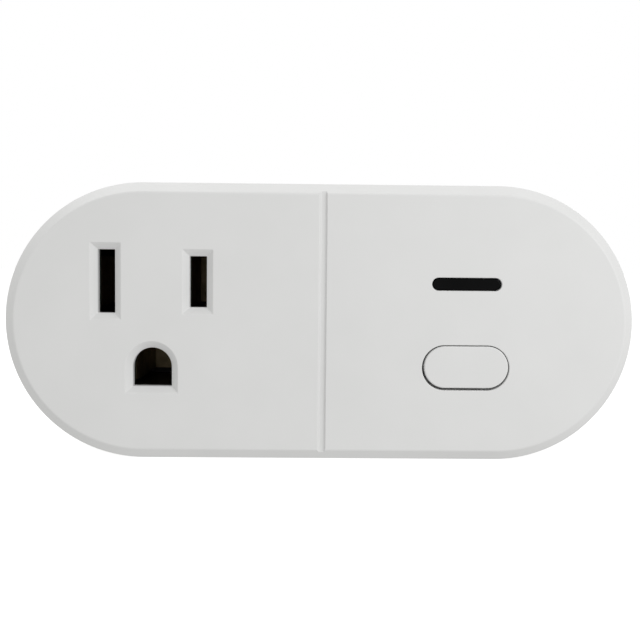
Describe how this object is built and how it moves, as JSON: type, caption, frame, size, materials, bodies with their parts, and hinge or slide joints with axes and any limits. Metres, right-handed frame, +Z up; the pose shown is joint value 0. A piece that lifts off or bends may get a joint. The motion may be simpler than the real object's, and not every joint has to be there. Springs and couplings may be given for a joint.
{
  "type": "smart plug",
  "caption": "Pill-shaped switched adaptor for a 120 V earthed wall outlet, with an earthed outlet, a light bar and a push button on its face and plug blades at the rear.",
  "frame": {"origin": "on the flat rear face that meets the wall plate, midway between the two flat blades", "axes": "+Y out of the rear face along the blades, +X along the case from the outlet to the button, +Z up, with the earth pin below the flat blades"},
  "size_m": [0.0876, 0.0516, 0.0384],
  "materials": {
    "shell_plastic": "white moulded plastic, fine satin grain",
    "black_plastic": "black flame-retardant moulding",
    "cream_plastic": "natural nylon moulding",
    "smoked_plastic": "dark smoked light guide",
    "brass": "phosphor bronze and brass strip",
    "nickel_plate": "nickel plate on brass",
    "steel": "zinc-plated steel",
    "circuit_board": "green glass-epoxy board",
    "relay_blue": "blue moulded relay case",
    "enamelled_copper": "enamelled copper winding",
    "chip_black": "moulded epoxy, black",
    "film_yellow": "yellow potted box",
    "varistor_blue": "blue dipped epoxy",
    "fuse_brown": "brown moulded fuse body",
    "sleeve_black": "shrunk sleeve on an aluminium can",
    "led_clear": "clear lens over a pale package",
    "wire_black": "black lead insulation",
    "wire_red": "red lead insulation",
    "wire_white": "white lead insulation"
  },
  "bodies": {
    "housing": {"front_cover": "shell_plastic", "rear_cover": "shell_plastic", "outlet_core": "black_plastic", "contact_retainer": "black_plastic", "blade_carrier": "cream_plastic", "relay_bobbin": "cream_plastic", "light_bar": "smoked_plastic", "neutral_contact": "brass", "line_contact": "brass", "earth_contact": "brass", "earth_strap": "brass", "relay_fixed_contact": "brass", "earth_pin": "nickel_plate", "neutral_blade": "nickel_plate", "line_blade": "nickel_plate", "radio_can": "nickel_plate", "case_screw_1": "steel", "case_screw_2": "steel", "case_screw_3": "steel", "case_screw_4": "steel", "board_screw_1": "steel", "board_screw_2": "steel", "relay_yoke": "steel", "switch_dome": "steel", "main_board": "circuit_board", "radio_board": "circuit_board", "relay_case": "relay_blue", "relay_winding": "enamelled_copper", "relay_base": "chip_black", "inductor": "chip_black", "bridge_rectifier": "chip_black", "converter_chip": "chip_black", "regulator_chip": "chip_black", "switch_body": "chip_black", "film_capacitor": "film_yellow", "varistor": "varistor_blue", "fuse": "fuse_brown", "bulk_capacitor_1": "sleeve_black", "bulk_capacitor_2": "sleeve_black", "status_led_1": "led_clear", "status_led_2": "led_clear", "line_in_lead": "wire_black", "line_out_lead": "wire_red", "neutral_lead": "wire_white"},
    "button": {"button_cap": "shell_plastic"},
    "plunger": {"switch_plunger": "chip_black"},
    "armature": {"relay_armature": "steel", "relay_contact_spring": "brass"}
  },
  "joints": [
    {"name": "button_press", "type": "slide", "parent": "housing", "child": "button", "axis": [0, 1, 0], "range_m": [0, 0.0005], "stiffness_N_per_m": 1500, "springref_m": -0.0003},
    {"name": "plunger_press", "type": "slide", "parent": "housing", "child": "plunger", "axis": [0, 1, 0], "range_m": [0, 0.00025]},
    {"name": "relay_close", "type": "hinge", "parent": "housing", "child": "armature", "pos_m": [0.0337, -0.00905, -0.0134], "axis": [0, 0, -1], "range_deg": [0, 3], "stiffness_Nm_per_rad": 0.02, "springref_deg": -5.73}
  ],
  "couplings": [
    {"joint": "plunger_press", "follows": "button_press", "ratio": 0.5}
  ]
}
